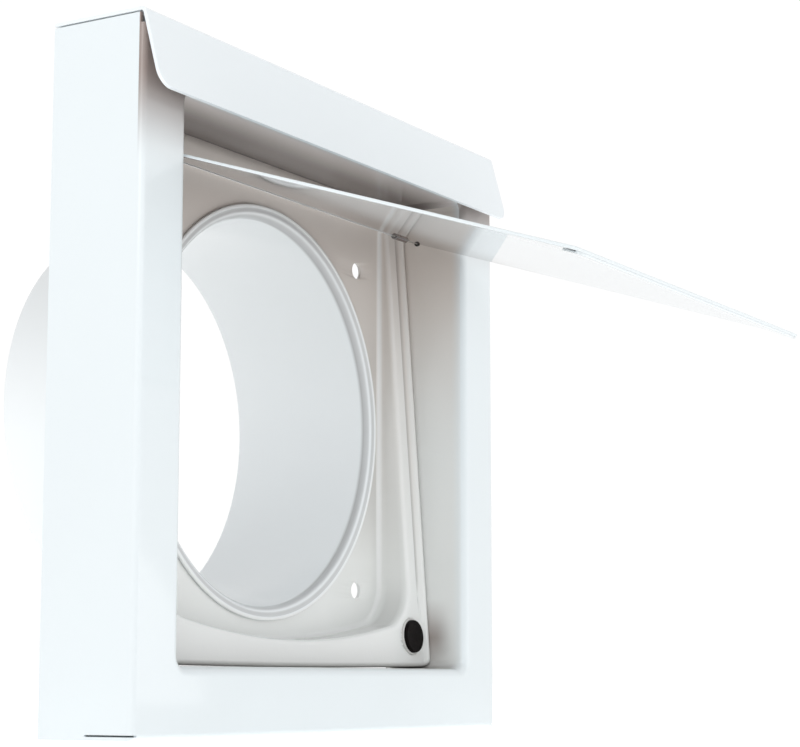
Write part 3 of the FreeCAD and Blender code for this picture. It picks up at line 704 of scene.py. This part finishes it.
def ridge_height(x, z):
    """The rim beside the groove stands proud of the seat."""
    return RIDGE_HEIGHT * smoothstep(62.0, 62.9, x) * smoothstep(-64.6, -62.6, z)


def seat_shading(x, z):
    """A painted highlight on the seat and the rim beside it, fading toward the top, and painted shade in the
    groove and at the seat's foot.
    """
    groove = max(0.0, 1 - (x - GROOVE_X - 0.1) ** 2) * smoothstep(-50.0, -40.0, z)
    highlight = 0.45 * (1 - 0.6 * smoothstep(10.0, 60.0, z))
    foot = smoothstep(-63.8, -64.5, z)
    return highlight - (highlight + 0.35) * groove - (highlight + 0.5) * foot


def make_pan():
    skin = Skin()
    rows = [skin.row(points, tone) for points, tone in pan_rows()]
    skin.strips(rows)
    circle = ring(NECK_HOLE, PLATE_Y, NECK_POINTS)
    neck = skin.row(circle, [plate_shading(z) for _, _, z in circle])
    holes = [
        skin.row(
            ring(SCREW_RADIUS, PLATE_Y, SCREW_POINTS, sx * SCREW_HALF, sz * SCREW_HALF),
            plate_shading(sz * SCREW_HALF),
        )
        for sx in (-1, 1) for sz in (-1, 1)
    ]
    skin.fill(rows[0], [neck, *holes])
    last = neck
    for i in range(FILLET_STEPS + 1):
        a = math.radians(90.0 * i / FILLET_STEPS)
        radius = NECK_RADIUS - NECK_BEND * math.sin(a)
        following = skin.row(ring(radius, PLATE_Y + NECK_BEND * (1 - math.cos(a)), NECK_POINTS))
        skin.strip(last, following, closed=True)
        last = following
    top = PAN_HIGH.z
    proud = PLATE_Y - TOP_BEAD
    # A small bead along the pan's top edge, with a painted highlight on it.
    bead_rows = [
        skin.row([(x, PLATE_Y, top - 0.5), (x, proud, top - 0.45), (x, proud, top)], 1.0)
        for x in (-RECESS_HALF, -RECESS_HALF / 2, 0.0, RECESS_HALF / 2, RECESS_HALF)
    ]
    skin.strips(bead_rows)
    piece = skin.make("back_pan_stamped", (0, -1, 0))
    thicken(piece, SHEET)
    apply_all(piece)
    for sign in (-1, 1):
        cut = piece.modifiers.new("magnet_hole", "BOOLEAN")
        cut.operation = "DIFFERENCE"
        cut.solver = "EXACT"
        cut.object = magnet_hole_tool(sign)
    apply_all(piece)
    for tool in [o for o in bpy.data.objects if o.name.startswith("cutter_")]:
        bpy.data.objects.remove(tool)
    return settle(piece)


MAGNET_X = (CUP_LOW.x + CUP_HIGH.x) / 2
MAGNET_Z = -56.3
CUP_RADIUS = (CUP_HIGH.x - CUP_LOW.x) / 2


def off_seat(sign):
    """Carries +Z to the seat's outward normal, at one magnet's centre on the seat."""
    lean = Matrix.Rotation(math.radians(90) - math.atan(SEAT_SLOPE), 4, "X")
    spot = Vector((sign * MAGNET_X, seat_y(MAGNET_Z), MAGNET_Z)) * MM
    return Matrix.Translation(spot) @ lean


def magnet_hole_tool(sign):
    """A closed cylinder that cuts the hole for one magnet's cup."""
    skin = Skin()
    count = 64
    step = 2 * math.pi / count
    radius = CUP_RADIUS + 0.07
    rows = []
    for height in (-6.0, 6.0):
        rows.append(skin.row(
            (radius * math.cos(i * step), radius * math.sin(i * step), height) for i in range(count)
        ))
    skin.strip(rows[0], rows[1], closed=True)
    skin.faces.append(tuple(rows[0]))
    skin.faces.append(tuple(rows[1]))
    return skin.make(f"cutter_{sign + 1}", (0, 0, 1), off_seat(sign))


stand_for(make_pan(), "back_pan", PAINT_INSIDE)


# ---- duct collar --------------------------------------------------------------------------------


DUCT_RADIUS = 49.7
MOUTH_BEND = 2.2
# Painted highlights and painted shade in rings round the collar's mouth, one per point of the curl.
MOUTH_TONES = (-0.36, -0.25, 0.1, -0.1, -0.3, -0.36, -0.4, -0.42, -0.5, -0.3)
TUBE_STEPS = (0.2, 0.4, 0.6, 0.8)
COLLAR_POINTS = 192


def make_collar():
    """Rolled tube with a flared mouth, turned about the duct's axis."""
    mouth = COLLAR_HIGH.x
    face = COLLAR_LOW.y
    end = COLLAR_HIGH.y
    inside = DUCT_RADIUS
    outside = inside + SHEET
    bend = MOUTH_BEND
    centre = (inside + bend, face + bend + 0.25)
    # A third number in a profile point is its tone: a painted highlight above zero, painted shade below.
    profile = [
        (mouth - 0.02, face + 0.5, 0.6), (mouth - 0.05, face + 0.22, 0.8), (mouth - 0.18, face + 0.06, 0.8),
        (mouth - 0.5, face, 0.8), (mouth - 0.8, face + 0.06, 0.3), (mouth - 1.1, face + 0.13, -0.3),
        (centre[0], centre[1] - bend, -0.34),
    ]
    curl = arc(centre[0], centre[1], bend, -90.0, -180.0, len(MOUTH_TONES))
    for (x, y), tone in zip(curl[1:], MOUTH_TONES):
        profile.append((x, y, tone))
    profile += [(inside, centre[1] + 0.6, 0.0)]
    profile += [(inside, mix(centre[1], end, t)) for t in TUBE_STEPS]
    profile += [(inside, end - 0.35), (inside + 0.12, end - 0.08), (inside + 0.35, end)]
    profile += [(outside - 0.35, end), (outside - 0.12, end - 0.08), (outside, end - 0.35)]
    profile += [(outside, mix(end, centre[1], t)) for t in TUBE_STEPS]
    for x, y in arc(centre[0], centre[1], bend - SHEET, -180.0, -90.0, 8):
        profile.append((x, y, -0.3))
    profile += [(mouth - 0.4, face + SHEET, -0.3), (mouth - 0.1, face + SHEET - 0.08, 0.0)]
    turn = Matrix.Rotation(math.radians(-90), 4, "X")
    return lathe("duct_collar_rolled", profile, COLLAR_POINTS, turn)


stand_for(make_collar(), "duct_collar", PAINT_DUCT)


# ---- hood cap -----------------------------------------------------------------------------------

LIP_CORNER = 4.0
CAP_BEND = 1.4
CAP_FLANGE_HALF = 68.6
CAP_FLANGE_LOW = 69.0
FRONT_Y = -26.0


def make_cap():
    """Top wall, the lip that leans out in front of it, and the wall flange."""
    half = CAP_HIGH.x
    top = CAP_HIGH.z
    low = CAP_LOW.z
    front = FRONT_Y
    nose = CAP_LOW.y
    lean = math.atan2(front - nose, top - low)
    skin = Skin()
    inner = [-CAP_FLANGE_HALF + 2 * CAP_FLANGE_HALF * i / 24 for i in range(25)]

    def columns(reach):
        """X positions of a row: the middle stays put, and the ends follow the lip's corners."""
        outer = [mix(CAP_FLANGE_HALF, reach, t) for t in (0.25, 0.5, 0.75, 1.0)]
        return [-x for x in reversed(outer)] + inner + outer

    rows = []
    for i in range(13):
        a = math.radians(90.0 * i / 12)
        above = LIP_CORNER * (1 - math.cos(a))
        reach = half - LIP_CORNER * (1 - math.sin(a))
        z = low + above
        y = nose + (z - low) * math.tan(lean)
        rows.append(skin.row([(x, y, z) for x in columns(reach)]))
    bend_angle = 90.0 - math.degrees(lean)
    setback = CAP_BEND * math.tan(math.radians(bend_angle) / 2)
    centre_y = front + setback
    centre_z = top - CAP_BEND
    for t in (0.35, 0.7):
        z = mix(low + LIP_CORNER, centre_z, t)
        lean_y = nose + (z - low) * math.tan(lean)
        rows.append(skin.row([(x, lean_y, z) for x in columns(half)]))
    for y, z in arc(centre_y, centre_z, CAP_BEND, 180.0 - math.degrees(lean), 90.0, 8):
        rows.append(skin.row([(x, y, z) for x in columns(half)]))
    for y in (-18.0, -10.0, -CAP_BEND):
        rows.append(skin.row((x, y, top) for x in columns(half)))
    skin.strips(rows)
    last = rows[-1]
    ends = skin.row((x, 0.0, top) for x in columns(half))
    skin.strip(last[:5], ends[:5])
    skin.strip(last[-5:], ends[-5:])
    middle = last[4:-4]
    for y, z in arc(-CAP_BEND, top - CAP_BEND, CAP_BEND, 90.0, 0.0, 6)[1:] + [(0.0, CAP_FLANGE_LOW)]:
        following = skin.row((x, y, z) for x in inner)
        skin.strip(middle, following)
        middle = following
    piece = skin.make("hood_cap_folded", (0, -0.3, 1))
    thicken(piece, SHEET)
    soften(piece, 0.12)
    return settle(piece)


def make_tabs():
    """The cap's two side tabs, which lie against the side walls from inside."""
    skin = Skin()
    for sign in (-1, 1):
        x = sign * (CAP_HIGH.x - SHEET - 0.1)
        outline = [(-23.9, 80.3), (-23.9, 73.0), (-23.3, 71.6), (-21.9, 71.0)]
        outline += [(-5.4, 71.0), (-4.0, 71.6), (-3.4, 73.0), (-3.4, 80.3)]
        # The tabs are painted near black: painted shade in the slit between cap and side walls.
        near_side = skin.row([(x, y, z) for y, z in outline], -0.9)
        far_side = skin.row([(x - sign * SHEET, y, z) for y, z in outline], -0.9)
        skin.faces += [tuple(near_side), tuple(reversed(far_side))]
        skin.strip(near_side, far_side, closed=True)
    return skin.make("hood_cap_tabs", (1, 0, 0))


stand_for(make_cap(), "hood_cap", PAINT_CAP)
stand_for(make_tabs(), "hood_cap", PAINT)


# ---- damper flap --------------------------------------------------------------------------------

FLAP_SHEET = 0.8
FLAP_HALF = 63.6
FLAP_LENGTH = 118.3
FLAP_TAIL = 0.9
FLAP_OPEN = 18.0
FLAP_NOTCH = 2.3
NOTCH_X = 59.6
HEM_WIDTH = 3.7
HEM_SHEET = 0.55
HEM_INSET = 1.2
EAR_INNER = 52.0
EAR_OUTER = 58.0
EAR_POINTS = 30
# Painted shade: the ears and their bores are painted dark.
EAR_TONE = -0.85
BORE_TONE = -0.8


def flap_place():
    """Carries (x, distance from the hinge, height above the hinge line) to the rest position."""
    tilt = math.radians(FLAP_OPEN)
    return Matrix((
        (1.0, 0.0, 0.0, HINGE.x * MM),
        (0.0, -math.cos(tilt), -math.sin(tilt), HINGE.y * MM),
        (0.0, -math.sin(tilt), math.cos(tilt), HINGE.z * MM),
        (0.0, 0.0, 0.0, 1.0),
    ))


def slab(skin, outline, low, high):
    """A plate between two heights, with softened edges, from a closed outline of (x, l)."""
    soft = 0.12
    centre_x = sum(x for x, _ in outline) / len(outline)
    centre_l = sum(l for _, l in outline) / len(outline)

    def shrunk(amount):
        pulled = []
        for x, l in outline:
            pulled.append((
                x - math.copysign(amount, x - centre_x), l - math.copysign(amount, l - centre_l),
            ))
        return pulled

    levels = ((soft, low), (0.0, low + soft), (0.0, high - soft), (soft, high))
    rows = [skin.row([(x, l, n) for x, l in shrunk(amount)]) for amount, n in levels]
    skin.strips(rows, closed=True)
    skin.fill(rows[0])
    skin.fill(rows[-1])


def hem_section():
    """The fold along the free edge, as (distance from the free edge, height) pairs."""
    low = -FLAP_SHEET / 2
    outer = (FLAP_SHEET / 2 + HEM_SHEET) / 2 + 0.05
    gap = 0.14
    section = [(HEM_WIDTH, low - HEM_SHEET), (HEM_WIDTH, low - 0.05), (outer + 0.4, low - gap)]
    section += [(outer + 0.15, low - gap / 2), (outer + 0.15, low + 0.3)]
    section += [(0.28, low + 0.3), (0.08, low + 0.1), (0.0, low - 0.1)]
    section += [(0.03, low - 0.3), (0.12, low - HEM_SHEET + 0.12), (0.3, low - HEM_SHEET)]
    return section


def make_flap():
    """One flat sheet with a hem folded under along its free edge and two ears round the pins."""
    skin = Skin()
    half = FLAP_HALF
    front = FLAP_LENGTH
    tail = -FLAP_TAIL
    corner = 0.9
    right = [(NOTCH_X, tail), (NOTCH_X, FLAP_NOTCH), (half, FLAP_NOTCH), (half, front - corner)]
    right += [(half - corner * (1 - math.cos(a)), front - corner * (1 - math.sin(a)))
              for a in (math.radians(22.5 * i) for i in range(1, 5))]
    outline = right + [(-x, l) for x, l in reversed(right)]
    slab(skin, outline, -FLAP_SHEET / 2, FLAP_SHEET / 2)
    # A small bead under the tail edge, with a painted highlight on it.
    bead = [(0.0, -0.4), (0.42, -0.4), (0.36, -0.62), (0.06, -0.62)]
    bead_rows = [
        skin.row([(x, tail + inward, n) for inward, n in bead], 1.0)
        for x in (-NOTCH_X + 0.2, -20.0, 20.0, NOTCH_X - 0.2)
    ]
    for one, two in zip(bead_rows, bead_rows[1:]):
        skin.strip(one, two, closed=True)
    skin.faces += [tuple(bead_rows[0]), tuple(reversed(bead_rows[-1]))]
    hem_rows = []
    for i in range(25):
        x = mix(-half + HEM_INSET, half - HEM_INSET, i / 24)
        hem_rows.append(skin.row([(x, front - inward, n) for inward, n in hem_section()]))
    for one, two in zip(hem_rows, hem_rows[1:]):
        skin.strip(one, two, closed=True)
    skin.faces += [tuple(hem_rows[0]), tuple(reversed(hem_rows[-1]))]
    outer = (PIN_HIGH.z - PIN_LOW.z) / 2 + 0.65
    inner = (PIN_HIGH.z - PIN_LOW.z) / 2 + 0.02
    for sign in (-1, 1):
        ear_rows = []
        for x in (EAR_INNER, EAR_INNER + 0.1, EAR_OUTER - 0.1, EAR_OUTER):
            end = x in (EAR_INNER, EAR_OUTER)
            loop = [(outer - 0.1 * end, math.radians(12.0 * i)) for i in range(EAR_POINTS)]
            ear_rows.append(skin.row(
                [(sign * x, r * math.cos(a), r * math.sin(a)) for r, a in loop], EAR_TONE,
            ))
        skin.strips(ear_rows, closed=True)
        bores = [
            skin.row([(sign * x, inner * math.cos(math.radians(12.0 * i)),
                       inner * math.sin(math.radians(12.0 * i))) for i in range(EAR_POINTS)], BORE_TONE)
            for x in (EAR_INNER, EAR_OUTER)
        ]
        skin.strip(ear_rows[0], bores[0], closed=True)
        skin.strip(ear_rows[-1], bores[1], closed=True)
        skin.strip(bores[0], bores[1], closed=True)
    return settle(skin.make("damper_flap_sheet", (0, 0, 1), flap_place()))


def face_down(piece, below):
    """Give the faces that look down from the flap at rest their own material slot."""
    tilt = math.radians(FLAP_OPEN)
    down = Vector((0.0, math.sin(tilt), -math.cos(tilt)))
    for face in piece.data.polygons:
        if face.normal.dot(down) > below:
            face.material_index = 1


flap = make_flap()
stand_for(flap, "damper_flap", PAINT, PAINT_UNDER)
face_down(flap, 0.6)


# ---- hinge pins, bushings, clips and magnets --------------------------------------------------------


def outward(sign, x):
    """Carries +Z to the direction out of the side, from a point on the hinge axis."""
    spot = Vector((sign * x, HINGE.y, HINGE.z)) * MM
    return Matrix.Translation(spot) @ Matrix.Rotation(math.radians(90) * sign, 4, "Y")


def rod_profile(radius, low, high, soft):
    """Section of a solid round bar with rounded ends."""
    tip = 0.0005
    section = [(tip, low)]
    section += [(radius - soft + soft * math.sin(a), low + soft - soft * math.cos(a)) for a in
                (math.radians(30.0 * i) for i in range(4))]
    section += [(radius - soft + soft * math.cos(a), high - soft + soft * math.sin(a)) for a in
                (math.radians(30.0 * i) for i in range(4))]
    section += [(tip, high)]
    return section


SIDES = (("left", -1), ("right", 1))

for name, sign in SIDES:
    pin_radius = (PIN_HIGH.z - PIN_LOW.z) / 2
    pin = lathe(
        f"pin_turned_{name}", rod_profile(pin_radius, 0.0, PIN_HIGH.x - PIN_LOW.x, 0.25), 40,
        outward(sign, PIN_LOW.x),
    )
    stand_for(pin, f"hinge_pin_{name}", ZINC)

    flange = (BUSH_HIGH.z - BUSH_LOW.z) / 2
    length = BUSH_HIGH.x - BUSH_LOW.x
    bore = pin_radius + 0.05
    bushing = lathe(f"bushing_moulded_{name}", [
        (bore, 0.12), (bore + 0.12, 0.0), (0.98, 0.0), (1.1, 0.12), (1.1, 0.85), (flange - 0.12, 0.85),
        (flange, 0.97), (flange, length - 0.12), (flange - 0.12, length), (bore + 0.12, length),
        (bore, length - 0.12),
    ], 48, outward(sign, BUSH_LOW.x))
    stand_for(bushing, f"hinge_bushing_{name}", BLACK_NYLON)

    rim = (CLIP_HIGH.z - CLIP_LOW.z) / 2
    tall = CLIP_HIGH.x - CLIP_LOW.x
    clip = lathe(f"clip_pressed_{name}", [
        (pin_radius, 0.05), (pin_radius + 0.05, 0.0), (rim - 0.1, 0.0), (rim, 0.1), (rim, 0.3),
        (rim - 0.1, 0.4), (pin_radius + 1.1, 0.42), (pin_radius + 0.85, 0.55),
        (pin_radius + 0.7, tall - 0.1), (pin_radius + 0.6, tall), (pin_radius, tall),
    ], 48, outward(sign, CLIP_LOW.x))
    stand_for(clip, f"pin_clip_{name}", ZINC)

    cup = lathe(f"cup_moulded_{name}", [
        (CUP_RADIUS - 0.53, -2.9), (CUP_RADIUS - 0.53, 0.25), (CUP_RADIUS - 0.45, 0.35),
        (CUP_RADIUS - 0.1, 0.35),
        (CUP_RADIUS, 0.25), (CUP_RADIUS, -2.8), (CUP_RADIUS - 0.1, -2.9),
    ], 64, off_seat(sign))
    stand_for(cup, f"magnet_cup_{name}", WHITE_NYLON)

    magnet = lathe(f"magnet_disc_{name}", rod_profile(CUP_RADIUS - 0.57, -1.7, 1.3, 0.3), 64, off_seat(sign))
    stand_for(magnet, f"magnet_{name}", MAGNET)


# ---- camera -------------------------------------------------------------------------------------


CAMERA_SPOT = (-0.4395, -0.3066, -0.0684)
CAMERA_LOOK = (0.8492, 0.5077, 0.1452)
CAMERA_LENS = 94.43
CAMERA_SENSOR = 36.0


def make_camera():
    data = bpy.data.cameras.new("camera")
    data.sensor_width = CAMERA_SENSOR
    data.lens = CAMERA_LENS
    data.clip_start = 0.01
    data.clip_end = 50.0
    camera = bpy.data.objects.new("camera", data)
    bpy.context.scene.collection.objects.link(camera)
    camera.location = CAMERA_SPOT
    camera.rotation_mode = "QUATERNION"
    camera.rotation_quaternion = Vector(CAMERA_LOOK).to_track_quat("-Z", "Y")
    bpy.context.scene.camera = camera


make_camera()


# ---- floor and light ----------------------------------------------------------------------------


FLOOR_HALF = 12.0
FLOOR_GAP = 0.0002
FLOOR_GLOW = 0.5
SKY_SEEN = 1.02
SKY_LIT = 0.58


def make_floor():
    """A pale sheet just under the object, which glows a little to stay white."""
    half = FLOOR_HALF
    z = cad_low.z - FLOOR_GAP
    corners = [(-half, -half, z), (half, -half, z), (half, half, z), (-half, half, z)]
    mesh = bpy.data.meshes.new("floor")
    mesh.from_pydata(corners, [], [(0, 1, 2, 3)])
    floor = bpy.data.objects.new("floor", mesh)
    bpy.context.scene.collection.objects.link(floor)
    shader = Shader("floor_paper", Roughness=0.9)
    cloud = shader.noise(8.0, 2.0)
    blend = shader.spread(cloud, "Fac", 0.0, 1.0)
    shader.color(shader.tint(blend.outputs[0], (0.93, 0.93, 0.93), (0.95, 0.95, 0.95)))
    shader.surface.inputs["Emission Color"].default_value = (1, 1, 1, 1)
    shader.surface.inputs["Emission Strength"].default_value = FLOOR_GLOW
    mesh.materials.append(shader.material)


def make_world():
    """White surroundings that light the scene softly and stay white behind the object."""
    world = bpy.data.worlds.new("studio")
    world.use_nodes = True
    tree = world.node_tree
    background = tree.nodes["Background"]
    background.inputs["Color"].default_value = (1.0, 1.0, 1.0, 1)
    path = tree.nodes.new("ShaderNodeLightPath")
    strength = tree.nodes.new("ShaderNodeMapRange")
    strength.inputs["To Min"].default_value = SKY_SEEN
    strength.inputs["To Max"].default_value = SKY_LIT
    tree.links.new(path.outputs["Is Diffuse Ray"], strength.inputs["Value"])
    tree.links.new(strength.outputs["Result"], background.inputs["Strength"])
    bpy.context.scene.world = world


def area_light(name, position, target, size, power):
    """A round lamp that faces a point."""
    data = bpy.data.lights.new(name, "AREA")
    data.shape = "DISK"
    data.size = size
    data.energy = power
    lamp = bpy.data.objects.new(name, data)
    bpy.context.scene.collection.objects.link(lamp)
    lamp.location = position
    lamp.rotation_mode = "QUATERNION"
    lamp.rotation_quaternion = (Vector(target) - Vector(position)).to_track_quat("-Z", "Y")


make_floor()
make_world()
area_light("key", (-1.65, -0.45, 0.9), (0, 0, 0), 1.2, 7.0)
area_light("fill", (0.45, -0.6, -0.1), (0, 0, 0), 0.35, 0.32)
area_light("sky", (0.2, -0.95, 1.5), (0, 0, 0.05), 0.9, 2.4)

settings = bpy.context.scene.view_settings
settings.view_transform = "Standard"
settings.look = "None"
